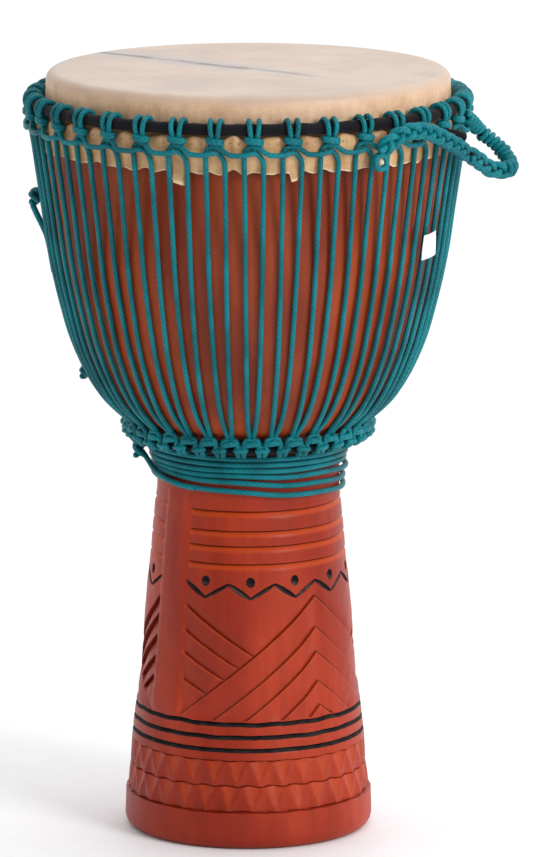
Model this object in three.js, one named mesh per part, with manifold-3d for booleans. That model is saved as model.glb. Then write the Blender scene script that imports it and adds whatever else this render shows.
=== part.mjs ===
// A djembe: a carved goblet drum with a laced goatskin head.
//
// Millimetres, +Z up. The origin is on the drum's axis, at the plane the foot stands on.
// Bearings are degrees about +Z, counted from -Y (the front) towards +X.
import * as THREE from "three";
import { mergeVertices } from "three/addons/utils/BufferGeometryUtils.js";
import Module from "manifold-3d";

const wasm = await Module();
wasm.setup();

// ---------------------------------------------------------------- driving dimensions

const HEIGHT = 610;
const CLEARANCE = 0.3;
const FACETS = 36;

const SKIN = 0.9;
const WOOD_TOP = HEIGHT - SKIN - CLEARANCE;
const BOWL_RADIUS = 158.5;
const BOWL_BORE = 146.5;
const RIM_BEND = 7; // radius of the bearing edge
const WAIST_RADIUS = 72.6;
const WAIST_BORE = 45;
const FOOT_RADIUS = 98.7;
const FOOT_BORE = 84;

const ROPE = 2.4; // rope radius
const TIGHT_ROPE = 2.05; // radius of the rope where it is pulled hard round a ring
const ROPE_SIDES = 4;
const LOOPS = 36;
const LOOP_STEP = 360 / LOOPS;
const FIRST_LOOP = 1.5;

const CROWN_RING = { radius: 169.2, z: 586, rod: 3.7, sleeve: 4.7 };
const FLESH_RING = { radius: 163.3, z: 571.2, rod: 2.5 };
const BOTTOM_RING = { radius: 91.2, z: 320.6, rod: 2.5, sleeve: 3.4 };

const STRAND_RADIUS = 171; // of the strands where they pass behind the bar
const BAR = { radius: 176, z: 567.3, arch: 573.2 };
const WAIST_LEVELS = [312.4, 307.4, 302.4, 297.4, 292, 283.5, 279.5]; // after each turn of the wrap

// Bearing, radius and height of the two roots of the handle, and its outermost point.
const HANDLE_BACK_ROOT = { bearing: 84, radius: 183, z: 563 };
const HANDLE_FRONT_ROOT = { bearing: 67, radius: 187.5, z: 552.4 };
const HANDLE_TIP = new THREE.Vector3(206, -30, 537.3);
const HANDLE_CORE = 2.9;
const HANDLE_WRAP = 6.2;
const HANDLE_CHAIN = 7;

// ---------------------------------------------------------------- materials

function matte(color, roughness = 0.8) {
  return new THREE.MeshStandardMaterial({ color, roughness, metalness: 0 });
}

const WOOD = matte(0x9c4329, 0.45);
const HIDE = matte(0xd8bd9a, 0.6);
const TEAL_ROPE = matte(0x14828c, 0.7);
const BLACK_CLOTH = matte(0x16161c, 0.9);
const PAPER = matte(0xe8eaf0, 0.85);
const STEEL = new THREE.MeshStandardMaterial({ color: 0x8a8d90, roughness: 0.4, metalness: 1 });

// ---------------------------------------------------------------- solids and curves

function solidOf(geometry) {
  const flat = geometry.index ? geometry.toNonIndexed() : geometry;
  const bare = new THREE.BufferGeometry();
  bare.setAttribute("position", flat.getAttribute("position"));
  const merged = mergeVertices(bare, 1e-3);
  const vertProperties = merged.attributes.position.array;
  const triVerts = new Uint32Array(merged.index.array);
  return new wasm.Manifold(new wasm.Mesh({ numProp: 3, vertProperties, triVerts }));
}

function joined(solids) {
  return wasm.Manifold.union(solids);
}

function meshOf(name, solid, material) {
  const { numProp, numVert, vertProperties, triVerts } = solid.getMesh();
  const positions = new Float32Array(numVert * 3);
  for (let i = 0; i < numVert; i += 1) {
    positions.set(vertProperties.subarray(i * numProp, i * numProp + 3), i * 3);
  }
  const geometry = new THREE.BufferGeometry();
  geometry.setAttribute("position", new THREE.BufferAttribute(positions, 3));
  geometry.setIndex(new THREE.BufferAttribute(triVerts, 1));
  geometry.computeVertexNormals();
  const mesh = new THREE.Mesh(geometry, material);
  mesh.name = name;
  return mesh;
}

function radians(degrees) {
  return THREE.MathUtils.degToRad(degrees);
}

// The point at a bearing, a distance from the axis and a height.
function around(bearing, radius, z) {
  const angle = radians(bearing);
  return new THREE.Vector3(radius * Math.sin(angle), -radius * Math.cos(angle), z);
}

// A solid of revolution about +Z from a closed outline of (radius, height) points.
function turned(outline) {
  const geometry = new THREE.LatheGeometry([...outline, outline[0]], FACETS);
  return solidOf(geometry.rotateX(Math.PI / 2));
}

function roundSection(radius, sides) {
  const corners = Array.from({ length: sides }, (_, i) => {
    const angle = (2 * Math.PI * (i + 0.5)) / sides;
    return new THREE.Vector2(radius * Math.cos(angle), radius * Math.sin(angle));
  });
  return new THREE.Shape(corners);
}

// A polyline whose corners are the stations of the tube swept along it.
class Route extends THREE.Curve {
  constructor(points) {
    super();
    this.points = points;
  }

  getPoint(t, target = new THREE.Vector3()) {
    const last = this.points.length - 1;
    const index = Math.min(Math.floor(t * last), last - 1);
    return target.lerpVectors(this.points[index], this.points[index + 1], t * last - index);
  }

  getPointAt(u, target) {
    return this.getPoint(u, target);
  }

  getTangentAt(u, target) {
    return this.getTangent(u, target);
  }
}

function sweep(extrudePath, radius, steps, sides) {
  const options = { steps, extrudePath, bevelEnabled: false };
  return solidOf(new THREE.ExtrudeGeometry(roundSection(radius, sides), options));
}

// A tube with one station at each point.
function rope(points, radius = ROPE, sides = ROPE_SIDES) {
  return sweep(new Route(points), radius, points.length - 1, sides);
}

// A tube along the smooth curve through the points.
function tube(points, radius, steps, sides) {
  return sweep(new THREE.CatmullRomCurve3(points, false, "centripetal"), radius, steps, sides);
}

function hoop(radius, z, section, sides) {
  const geometry = new THREE.TorusGeometry(radius, section, sides, FACETS);
  return solidOf(geometry.translate(0, 0, z));
}

// Radius of an outline of (radius, height) points, listed from the foot up, at one height.
function radiusAt(outline, z) {
  const above = outline.findIndex((point) => point.y >= z);
  const [low, high] = [outline[above - 1], outline[above]];
  return THREE.MathUtils.mapLinear(z, low.y, high.y, low.x, high.x);
}

// ---------------------------------------------------------------- the carved shell

// Four rounded ridges under the waist, each cut in from below, then a plain cone.
function ridgedNeck(path) {
  const ridges = [227, 241, 253, 268.5];
  const depth = 2.6;
  for (const z of ridges) {
    const radius = THREE.MathUtils.mapLinear(z, 220, 275, 78.2, 72.9);
    path.lineTo(radius, z - 4);
    path.lineTo(radius - depth, z);
    path.lineTo(radius - 0.4, z + 2.5);
  }
}

// Three V-shaped burnt grooves round the foot.
function burntGrooves(path) {
  const grooves = [79.4, 89.6, 100];
  const halfWidth = 2.2;
  const depth = 2.4;
  for (const z of grooves) {
    const radius = THREE.MathUtils.mapLinear(z, 71, 100, 92.7, 89.3);
    path.lineTo(radius + 0.2, z - halfWidth);
    path.lineTo(radius - depth, z);
    path.lineTo(radius - 0.2, z + halfWidth);
  }
}

function shellOutside() {
  const foot = new THREE.Path();
  foot.moveTo(90, 0);
  foot.lineTo(94.5, 1);
  foot.lineTo(FOOT_RADIUS - 0.8, 4.5);
  foot.lineTo(FOOT_RADIUS, 10);
  foot.lineTo(FOOT_RADIUS - 0.6, 29.5);
  foot.lineTo(FOOT_RADIUS - 2.2, 31);
  foot.lineTo(92.9, 71);
  burntGrooves(foot);
  foot.lineTo(84.2, 150);
  foot.lineTo(80.4, 200);
  ridgedNeck(foot);
  foot.lineTo(WAIST_RADIUS, 288);

  const bowl = new THREE.SplineCurve([
    new THREE.Vector2(WAIST_RADIUS + 0.6, 300),
    new THREE.Vector2(79.5, 320),
    new THREE.Vector2(103.5, 341),
    new THREE.Vector2(119.5, 360),
    new THREE.Vector2(136, 394),
    new THREE.Vector2(147, 433),
    new THREE.Vector2(155, 472),
    new THREE.Vector2(BOWL_RADIUS, 520),
  ]);
  const rim = new THREE.Path();
  rim.absarc(BOWL_RADIUS - RIM_BEND, WOOD_TOP - RIM_BEND, RIM_BEND, 0, Math.PI / 2, false);
  return [...foot.getPoints(), ...bowl.getPoints(9), ...rim.getPoints(2)];
}

function shellInside() {
  const bowl = new THREE.SplineCurve([
    new THREE.Vector2(BOWL_BORE + 1, WOOD_TOP - 4),
    new THREE.Vector2(BOWL_BORE, 520),
    new THREE.Vector2(135, 433),
    new THREE.Vector2(104, 360),
    new THREE.Vector2(70, 320),
    new THREE.Vector2(WAIST_BORE + 2, 300),
  ]);
  const horn = new THREE.SplineCurve([
    new THREE.Vector2(WAIST_BORE, 285),
    new THREE.Vector2(53, 200),
    new THREE.Vector2(68, 100),
    new THREE.Vector2(FOOT_BORE, 0),
  ]);
  return [...bowl.getPoints(7), ...horn.getPoints(4)];
}

const OUTSIDE = shellOutside();

function shell() {
  return turned([...OUTSIDE, ...shellInside()]);
}

// ---------------------------------------------------------------- skin and rings

// A strip of even thickness along a line of (radius, height) points, as a closed outline.
function strip(line, thickness) {
  const left = [];
  const right = [];
  line.forEach((point, i) => {
    const before = line[Math.max(i - 1, 0)];
    const after = line[Math.min(i + 1, line.length - 1)];
    const along = after.clone().sub(before).normalize();
    const aside = new THREE.Vector2(-along.y, along.x).multiplyScalar(thickness / 2);
    left.push(point.clone().add(aside));
    right.push(point.clone().sub(aside));
  });
  return [...left, ...right.reverse()];
}

// Over the bearing edge, down the bowl, under and up round the flesh ring, out and down.
function headSkin() {
  const half = SKIN / 2;
  const ring = FLESH_RING;
  const wall = BOWL_RADIUS + CLEARANCE + half;
  const shoulder = new THREE.Path();
  const bend = RIM_BEND + CLEARANCE + half;
  shoulder.absarc(BOWL_RADIUS - RIM_BEND, WOOD_TOP - RIM_BEND, bend, Math.PI / 2, 0, true);
  const pocket = ring.rod + CLEARANCE + half;
  const foldTop = ring.z + pocket + 0.6;
  const skirt = ring.radius + pocket + SKIN + CLEARANCE;
  const line = [
    new THREE.Vector2(0, HEIGHT - half),
    ...shoulder.getPoints(2),
    new THREE.Vector2(wall, ring.z - 1.6),
    new THREE.Vector2(wall + 1.6, ring.z - pocket),
    new THREE.Vector2(ring.radius + 1.6, ring.z - pocket),
    new THREE.Vector2(ring.radius + pocket, ring.z - 1.6),
    new THREE.Vector2(ring.radius + pocket, foldTop - 0.8),
    new THREE.Vector2(ring.radius + pocket + 0.7, foldTop),
    new THREE.Vector2(skirt, foldTop - 0.8),
    new THREE.Vector2(skirt, 566),
    new THREE.Vector2(skirt - 2.4, 553),
  ];
  const outline = strip(line, SKIN);
  outline[0] = new THREE.Vector2(0, HEIGHT);
  outline[outline.length - 1] = new THREE.Vector2(0, HEIGHT - SKIN);
  return solidOf(new THREE.LatheGeometry(outline.reverse(), FACETS).rotateX(Math.PI / 2));
}

function rod(ring) {
  return hoop(ring.radius, ring.z, ring.rod, 6);
}

// The cloth round a ring, with its seam left open on the side that faces the drum.
function clothSleeve(ring) {
  const inner = ring.rod + CLEARANCE;
  const seam = radians(12);
  const outline = new THREE.Path();
  outline.absarc(ring.radius, ring.z, ring.sleeve, Math.PI + seam, 3 * Math.PI - seam, false);
  const lining = new THREE.Path();
  lining.absarc(ring.radius, ring.z, inner, 3 * Math.PI - seam, Math.PI + seam, true);
  return turned([...outline.getPoints(3), ...lining.getPoints(3)]);
}

// ---------------------------------------------------------------- ropes

// Two turns over the ring and a bight across the front, then behind the ring to the next
// hitch. Angles are round the ring's own section: 0 faces out, and 90 away from the bight.
function hitch(ring, bearing, spread, bight) {
  const tight = ring.sleeve + 1.5 * CLEARANCE + TIGHT_ROPE;
  const awayFromBight = Math.sign(ring.z - bight.z);
  const leg = [
    { angle: 188, off: tight + 0.15 },
    { angle: 127, off: tight + 0.53 * ring.sleeve },
    { angle: 50, off: tight + 0.3 * ring.sleeve },
    { angle: 0, off: tight },
  ];
  const stations = (side) => leg.map(({ angle, off }) => around(
    bearing + side * spread,
    ring.radius + off * Math.cos(radians(angle)),
    ring.z + awayFromBight * off * Math.sin(radians(angle)),
  ));
  const crossing = [-1, 1].map((side) => around(bearing + side * bight.spread, bight.radius, bight.z));
  return [...stations(-1), ...crossing, ...stations(1).reverse()];
}

// All the hitches of one ring, tied in one length of rope whose two ends meet.
function ringLoops(ring, spread, bight) {
  const route = loopBearings().flatMap((bearing) => hitch(ring, bearing, spread, bight));
  return rope(route, TIGHT_ROPE);
}

function loopBearings() {
  return Array.from({ length: LOOPS }, (_, i) => FIRST_LOOP + i * LOOP_STEP);
}

function crownLoops() {
  return ringLoops(CROWN_RING, 1.3, { spread: 2.3, radius: 175.6, z: 578.2 });
}

function bottomLoops() {
  return ringLoops(BOTTOM_RING, 2.2, { spread: 3.2, radius: 100, z: 328 });
}

// Where a strand of the lacing lies at one height: on the bowl, or straight above it.
function strandRadius(z) {
  const leaves = { radius: 161.9, z: 480 };
  const offBowl = ROPE + CLEARANCE + 1.7;
  if (z <= leaves.z) return radiusAt(OUTSIDE, z) + offBowl;
  return THREE.MathUtils.mapLinear(z, leaves.z, 560, leaves.radius, STRAND_RADIUS - 0.4);
}

// One loop of the lacing: up the bowl, arched through the crown loop, along the bar to the
// next loop, tucked in behind it, down the bowl and round under the bottom loop.
function lacingLoop(bearing) {
  const heights = [350, 378, 412, 455, 510];
  const spread = 2.5;
  const next = bearing + LOOP_STEP;
  const up = heights.map((z) => around(bearing - spread, strandRadius(z), z));
  const down = heights.map((z) => around(next + spread, strandRadius(z), z)).reverse();
  return [
    around(bearing - 2.1, 99.3, 334),
    ...up,
    around(bearing - spread, STRAND_RADIUS, BAR.z + 1),
    around(bearing - 1.2, STRAND_RADIUS, BAR.arch),
    around(bearing + 1.6, STRAND_RADIUS + 0.6, BAR.arch - 0.6),
    around(bearing + 4.6, BAR.radius, BAR.z),
    around(next - 2.6, BAR.radius, BAR.z),
    around(next - 0.4, BAR.radius - 2, BAR.z - 1.2),
    around(next + 2, STRAND_RADIUS, BAR.z - 5),
    ...down,
    around(next + 2.1, 99.3, 334),
    around(next + 1.1, 94.9, 329.8),
    around(next - 1.1, 94.9, 329.8),
  ];
}

function lacing() {
  return rope(loopBearings().flatMap(lacingLoop));
}

// The spare lacing wound round the waist: tight turns on top, looser ones under them.
function waistWrap() {
  const perTurn = 20;
  const turns = WAIST_LEVELS.length - 1;
  const route = Array.from({ length: turns * perTurn + 1 }, (_, i) => {
    const turn = Math.min(Math.floor(i / perTurn), turns - 1);
    const share = i / perTurn - turn;
    const z = THREE.MathUtils.lerp(WAIST_LEVELS[turn], WAIST_LEVELS[turn + 1], share);
    const radius = radiusAt(OUTSIDE, z + 1) + ROPE + CLEARANCE + 1.6;
    return around(-65 + (360 * i) / perTurn, radius, z);
  });
  return rope(route);
}

// ---------------------------------------------------------------- handle

function at({ bearing, radius, z }) {
  return around(bearing, radius, z);
}

function handleCurve() {
  const back = at(HANDLE_BACK_ROOT);
  const front = at(HANDLE_FRONT_ROOT);
  return [
    back,
    new THREE.Vector3(193.6, -18, 554),
    new THREE.Vector3(201.5, -21, 545.7),
    HANDLE_TIP,
    new THREE.Vector3(198.5, -43, 535.5),
    new THREE.Vector3(188.3, -52, 538.7),
    new THREE.Vector3(179, -62.5, 547),
    front,
  ];
}

// The part of the handle's line between two fractions of its length.
function handleStretch(from, to, count) {
  const line = new THREE.CatmullRomCurve3(handleCurve(), false, "centripetal");
  return Array.from({ length: count }, (_, i) => line.getPointAt(from + ((to - from) * i) / (count - 1)));
}

function handleCore() {
  return rope(handleStretch(0, 1, 17), HANDLE_CORE, 6);
}

// A sleeve round the core between two fractions of the handle's length.
function handleSleeve(from, to, radius, count) {
  const reach = (to - from) / (count - 1);
  const bore = rope(handleStretch(Math.max(from - reach, 0), Math.min(to + reach, 1), count + 2),
    HANDLE_CORE + 0.8, 7);
  return rope(handleStretch(from, to, count), radius, 7).subtract(bore);
}

function handleWrap() {
  return handleSleeve(0.05, 0.45, HANDLE_WRAP, 8);
}

function handleChain() {
  return handleSleeve(0.49, 0.95, HANDLE_CHAIN, 8);
}

// The handle's chain carried on along the crown, over the hitches, to an eye.
function ringChain() {
  const radius = 5.6;
  const off = 185.2;
  const line = [
    around(62.5, off, 559.5),
    around(57.9, off, 565.6),
    around(53.6, off, 571.6),
    around(47.6, off, 578.5),
    around(43.1, off, 580),
    around(39, off, 578),
    around(35.8, off, 573.5),
  ];
  return tube(line, radius, 8, 7);
}

function chainEye() {
  const eye = new THREE.TorusGeometry(5.4, 2.4, 5, 10);
  eye.rotateX(Math.PI / 2);
  eye.rotateZ(radians(33.9));
  const place = around(33.9, 182.2, 558.4);
  return solidOf(eye.translate(place.x, place.y, place.z));
}

// ---------------------------------------------------------------- knots and trim

// A pulled-tight knot: a rounded lump a little wider than it is high.
function knot(bearing, radius, z, size) {
  const lump = new THREE.SphereGeometry(size, 8, 5);
  lump.scale(0.75, 1, 0.8);
  lump.rotateZ(radians(bearing - 90));
  const place = around(bearing, radius, z);
  return solidOf(lump.translate(place.x, place.y, place.z));
}

function sideKnot() {
  return knot(-93.6, 169.6, 506.2, 6.6);
}

// The knot's loose end, lying down the bowl over the lacing.
function sideStrand() {
  return rope([
    around(-94.1, 171.2, 499),
    around(-94.1, 167.6, 491),
    around(-94, 163.6, 483),
    around(-94, 160.2, 475),
    around(-94, 158, 466),
    around(-94.1, 156.2, 455.5),
    around(-94.2, 154.6, 446),
  ], ROPE, 6);
}

function lacingTailKnot() {
  return knot(-94.5, 131, 365, 5.2);
}

function waistTieKnot() {
  return knot(-78, 88.8, 307.4, 6.4);
}

// A small blank label stuck round two strands.
function paperTag() {
  const size = { width: 20, height: 18, thickness: 0.4 };
  const tag = new THREE.BoxGeometry(size.thickness, size.width, size.height);
  tag.rotateX(radians(5));
  tag.rotateZ(radians(57.75 - 90));
  const place = around(57.75, 167.4, 484);
  return solidOf(tag.translate(place.x, place.y, place.z));
}

// ---------------------------------------------------------------- assembly

const djembe = new THREE.Group();
djembe.add(
  meshOf("shell", shell(), WOOD),
  meshOf("head_skin", headSkin(), HIDE),
  meshOf("flesh_ring", rod(FLESH_RING), STEEL),
  meshOf("crown_ring", rod(CROWN_RING), STEEL),
  meshOf("crown_ring_cloth", clothSleeve(CROWN_RING), BLACK_CLOTH),
  meshOf("bottom_ring", rod(BOTTOM_RING), STEEL),
  meshOf("bottom_ring_cloth", clothSleeve(BOTTOM_RING), BLACK_CLOTH),
  meshOf("crown_loop_rope", crownLoops(), TEAL_ROPE),
  meshOf("bottom_loop_rope", bottomLoops(), TEAL_ROPE),
  meshOf("lacing_rope", lacing(), TEAL_ROPE),
  meshOf("waist_wrap_rope", waistWrap(), TEAL_ROPE),
  meshOf("waist_tie_knot", waistTieKnot(), TEAL_ROPE),
  meshOf("lacing_tail_knot", lacingTailKnot(), TEAL_ROPE),
  meshOf("side_knot", sideKnot(), TEAL_ROPE),
  meshOf("side_strand", sideStrand(), TEAL_ROPE),
  meshOf("handle_core", handleCore(), BLACK_CLOTH),
  meshOf("handle_wrap_rope", handleWrap(), TEAL_ROPE),
  meshOf("handle_chain", handleChain(), TEAL_ROPE),
  meshOf("ring_chain", ringChain(), TEAL_ROPE),
  meshOf("chain_eye", chainEye(), TEAL_ROPE),
  meshOf("paper_tag", paperTag(), PAPER),
);

export default djembe;
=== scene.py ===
"""Looks of a djembe: a carved goblet drum with a laced goatskin head.

Shapes are worked out in millimetres and become metres when a mesh is made. A bearing is
degrees about +Z, counted from -Y (the front) towards +X, as in the CAD source.
"""
import math
from functools import partialmethod

import bmesh
import bpy
import numpy as np
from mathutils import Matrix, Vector
from mathutils.geometry import delaunay_2d_cdt

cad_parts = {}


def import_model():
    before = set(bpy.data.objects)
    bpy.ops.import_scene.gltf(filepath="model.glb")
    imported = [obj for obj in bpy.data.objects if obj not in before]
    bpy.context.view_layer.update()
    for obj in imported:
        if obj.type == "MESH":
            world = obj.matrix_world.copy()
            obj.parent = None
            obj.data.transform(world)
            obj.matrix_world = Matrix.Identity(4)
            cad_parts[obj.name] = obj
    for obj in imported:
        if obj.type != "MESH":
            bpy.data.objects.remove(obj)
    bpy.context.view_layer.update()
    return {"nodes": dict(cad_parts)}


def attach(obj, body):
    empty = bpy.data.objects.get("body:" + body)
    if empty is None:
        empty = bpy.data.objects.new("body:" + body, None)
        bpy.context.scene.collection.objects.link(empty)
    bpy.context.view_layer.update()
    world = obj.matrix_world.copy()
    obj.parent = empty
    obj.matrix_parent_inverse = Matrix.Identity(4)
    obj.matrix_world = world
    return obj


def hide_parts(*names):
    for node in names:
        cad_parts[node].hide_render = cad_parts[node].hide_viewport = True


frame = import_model()
MM = 0.001

# ---- driving sizes

HEIGHT = 610
SKIN = 0.9
BOWL_RADIUS = 158.5
RIM_BEND = 7
ROPE = 2.4
THIN_ROPE = 2.05  # where it is stretched tight
LOOPS = 36
LOOP_STEP = 360 / LOOPS
FIRST_LOOP = 1.5
CROWN_RING = {"radius": 169.2, "z": 586, "sleeve": 4.7}
FLESH_RING = {"radius": 163.3, "z": 571.2, "rod": 2.5}
BOTTOM_RING = {"radius": 91.2, "z": 320.6, "sleeve": 3.4}
LOOP_BEARINGS = FIRST_LOOP + LOOP_STEP * np.arange(LOOPS)

# ---- camera

def placed(name, data, place, aim):
    """A camera or a lamp at one place, turned to another."""
    obj = bpy.data.objects.new(name, data)
    obj.location = place
    obj.rotation_euler = (Vector(aim) - Vector(place)).to_track_quat("-Z", "Y").to_euler()
    bpy.context.scene.collection.objects.link(obj)
    return obj


camera = bpy.data.cameras.new("camera")
camera.lens = 288.6
camera.shift_x = 0.0213
bpy.context.scene.camera = placed("camera", camera, (0, -5.37, 1.355), (0, 0, 0.3211))
bpy.context.scene.view_settings.view_transform = "Standard"

# ---- points and curves


def around(bearing, radius, z):
    """Points at bearings, distances from the axis and heights, broadcast together."""
    angle = np.radians(bearing)
    parts = np.broadcast_arrays(radius * np.sin(angle), -radius * np.cos(angle), z)
    return np.stack(parts, axis=-1).astype(float)


def unit(vectors):
    return vectors / np.maximum(np.linalg.norm(vectors, axis=-1, keepdims=True), 1e-9)


def clamp(values):
    return np.clip(values, 0, 1)


def smooth(points, step=1.0, closed=False):
    """A fine line along the centripetal Catmull-Rom curve through the points."""
    p = np.asarray(points, float)
    if closed:
        p = np.vstack([p[-1], p, p[0], p[1]])
    else:
        p = np.vstack([2 * p[0] - p[1], p, 2 * p[-1] - p[-2]])
    pieces = []
    for a, b, c, d in zip(p, p[1:], p[2:], p[3:]):
        knots = np.cumsum([0] + [np.linalg.norm(v) ** 0.5 + 1e-6 for v in (b - a, c - b, d - c)])
        count = max(2, math.ceil(np.linalg.norm(c - b) / step))
        t = np.linspace(knots[1], knots[2], count, endpoint=False)[:, None]

        def mix(low, high, i, j):
            share = (t - knots[i]) / (knots[j] - knots[i])
            return low * (1 - share) + high * share

        first, second, third = mix(a, b, 0, 1), mix(b, c, 1, 2), mix(c, d, 2, 3)
        pieces.append(mix(mix(first, second, 0, 2), mix(second, third, 1, 3), 1, 2))
    if not closed:
        pieces.append(p[-2:-1])
    return np.vstack(pieces)


def lengths(line):
    """The length along a line at each of its points."""
    return np.concatenate([[0], np.cumsum(np.linalg.norm(np.diff(line, axis=0), axis=1))])


def resampled(line, along, at):
    return np.stack([np.interp(at, along, line[:, i]) for i in range(3)], axis=1)


def stations(line, longest=4.0, turn=15.0):
    """Fewer points of a fine line, at most so many mm and degrees of bend apart."""
    legs = np.diff(line, axis=0)
    size = np.linalg.norm(legs, axis=1)
    heading = legs / size[:, None]
    bend = np.degrees(np.arccos(np.clip((heading[1:] * heading[:-1]).sum(1), -1, 1)))
    need = size / longest
    need[1:] += bend / turn / 2
    need[:-1] += bend / turn / 2
    reach = np.concatenate([[0], np.cumsum(need)])
    at = np.linspace(0, reach[-1], max(2, math.ceil(reach[-1])) + 1)
    return resampled(line, reach, at)


def share_of(line, start, end):
    """The stretch of a line between two shares of its length."""
    along = lengths(line)
    along = along / along[-1]
    return resampled(line, along, np.linspace(start, end, max(8, int(len(line) * (end - start)))))


# ---- meshes

def grid_faces(count, columns, closed=False):
    """Faces of rows of points, each row a closed ring, the last row joined to the first if closed."""
    i, j = np.meshgrid(np.arange(count if closed else count - 1), np.arange(columns), indexing="ij")
    here, there, beside = i * columns, (i + 1) % count * columns, (j + 1) % columns
    return np.stack([here + j, here + beside, there + beside, there + j], -1).reshape(-1, 4)


def tube(line, radius=ROPE, sides=10, closed=False):
    """Points, faces and corner coordinates (mm along, turns round) of a rope."""
    line = np.asarray(line, float)
    count = len(line)
    if closed:
        tangent = unit(np.roll(line, -1, 0) - np.roll(line, 1, 0))
    else:
        tangent = unit(np.gradient(line, axis=0))
    normals = np.empty_like(line)
    normal = unit(np.cross(tangent[0], (0.31, 0.2, 0.93)))
    for i in range(count):
        normal = unit(normal - tangent[i] * (normal @ tangent[i]))
        normals[i] = normal
    if closed:
        last = unit(normal - tangent[0] * (normal @ tangent[0]))
        slip = math.atan2(last @ np.cross(tangent[0], normals[0]), last @ normals[0])
        turn = -slip * np.arange(count)[:, None] / count
        normals = np.cos(turn) * normals + np.sin(turn) * np.cross(tangent, normals)
    sideways = np.cross(tangent, normals)
    radii = np.broadcast_to(radius, count).astype(float)
    along = lengths(line)
    if not closed:
        start, end = line[0] - tangent[0] * radii[0] * 0.35, line[-1] + tangent[-1] * radii[-1] * 0.35
        line = np.vstack([start, line, end])
        radii = np.concatenate([[radii[0] * 0.7], radii, [radii[-1] * 0.7]])
        normals, sideways = (np.pad(v, ((1, 1), (0, 0)), "edge") for v in (normals, sideways))
        along = np.pad(along, 1, "edge")
        count += 2
    angle = 2 * np.pi * np.arange(sides)[None, :, None] / sides
    radii = radii[:, None, None]
    rings = line[:, None] + radii * np.cos(angle) * normals[:, None]
    rings = rings + radii * np.sin(angle) * sideways[:, None]
    quads = grid_faces(count, sides, closed)
    i, k = np.divmod(np.arange(len(quads)), sides)
    low, high = along[i], np.append(along[1:], along[-1] + np.linalg.norm(line[0] - line[-1]))[i]
    round_it = np.stack([k, k + 1, k + 1, k], -1) / sides
    corners = np.stack([np.stack([low, low, high, high], -1), round_it], -1).reshape(-1, 2)
    faces = quads.tolist()
    if not closed:
        faces += [list(range(sides - 1, -1, -1)), list(range((count - 1) * sides, count * sides))]
        caps = np.repeat(along[[0, -1]], sides)
        corners = np.vstack([corners, np.stack([caps, 0 * caps], -1)])
    return rings.reshape(-1, 3), faces, corners


def together(parts):
    """Several (points, faces, corners) as one."""
    points, faces, corners, base = [], [], [], 0
    for part_points, part_faces, part_corners in parts:
        points.append(part_points)
        faces += [[v + base for v in face] for face in part_faces]
        corners.append(part_corners)
        base += len(part_points)
    return np.vstack(points), faces, np.vstack(corners)


def mesh_object(name, points, faces, corners=None, fields=None, sharp=None, weld=None):
    """An object from points in millimetres. fields are numbers at each point, by name."""
    mesh = bpy.data.meshes.new(name)
    mesh.from_pydata((np.asarray(points) * MM).tolist(), [], faces)
    if corners is not None:
        layer = mesh.uv_layers.new(name="rope")
        layer.data.foreach_set("uv", np.asarray(corners, np.float32).ravel())
    for field, values in (fields or {}).items():
        attribute = mesh.attributes.new(field, "FLOAT", "POINT")
        attribute.data.foreach_set("value", np.asarray(values, np.float32))
    if weld:
        bm = bmesh.new()
        bm.from_mesh(mesh)
        bmesh.ops.remove_doubles(bm, verts=bm.verts, dist=weld * MM)
        bmesh.ops.dissolve_degenerate(bm, edges=bm.edges, dist=weld * MM)
        bm.to_mesh(mesh)
        bm.free()
    mesh.polygons.foreach_set("use_smooth", np.ones(len(mesh.polygons), bool))
    if sharp:
        mesh.set_sharp_from_angle(angle=math.radians(sharp))
    mesh.update()
    obj = bpy.data.objects.new(name, mesh)
    bpy.context.scene.collection.objects.link(obj)
    return obj


def piece(obj, material, body, slot, *nodes):
    """Gives a new piece its material and its body, and hides the CAD nodes it stands for; slot is not used.
    """
    obj.data.materials.append(material)
    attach(obj, body)
    if nodes:
        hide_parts(*nodes)
    return obj


def tube_piece(name, parts, body, *nodes):
    """A piece of teal rope made of tubes."""
    return piece(mesh_object(name, *together(parts), sharp=60), TEAL_ROPE, body, "teal_rope", *nodes)


def rope_piece(name, lines, body, *nodes, radius=ROPE, sides=10, closed=False):
    return tube_piece(name, [tube(line, radius, sides, closed) for line in lines], body, *nodes)


# ---- material nodes

def feed(tree, socket, value):
    if isinstance(value, Signal):
        tree.links.new(value.socket, socket)
    else:
        socket.default_value = value


def signal(tree, kind, output, inputs, **settings):
    """One output of a new shader node. Its inputs are numbers, colours or signals."""
    node = tree.nodes.new("ShaderNode" + kind)
    for key, value in settings.items():
        setattr(node, key, value)
    for key, value in inputs.items():
        feed(tree, node.inputs[key], value)
    return Signal(tree, node.outputs[output])


class Signal:
    """A number or colour at each point of a surface: the output of a shader node."""

    def __init__(self, tree, socket):
        self.tree = tree
        self.socket = socket

    def math(self, operation, other=0.0):
        return signal(self.tree, "Math", 0, {0: self, 1: other}, operation=operation)

    __add__ = partialmethod(math, "ADD")
    __sub__ = partialmethod(math, "SUBTRACT")
    __mul__ = partialmethod(math, "MULTIPLY")
    __truediv__ = partialmethod(math, "DIVIDE")

    def ramp(self, low, high):
        """0 below low, 1 above high and an even S between; low may be above high."""
        flip = float(low > high)
        start, end = sorted((low, high))
        inputs = {"Value": self, "From Min": start, "From Max": end, "To Min": flip, "To Max": 1 - flip}
        return signal(self.tree, "MapRange", "Result", inputs, interpolation_type="SMOOTHSTEP")


def srgb(r, g, b):
    """A colour given in screen values, 0 to 255, as the shader takes it."""
    return (*(((c / 255 + 0.055) / 1.055) ** 2.4 if c > 10 else c / 3294.6 for c in (r, g, b)), 1)


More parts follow.
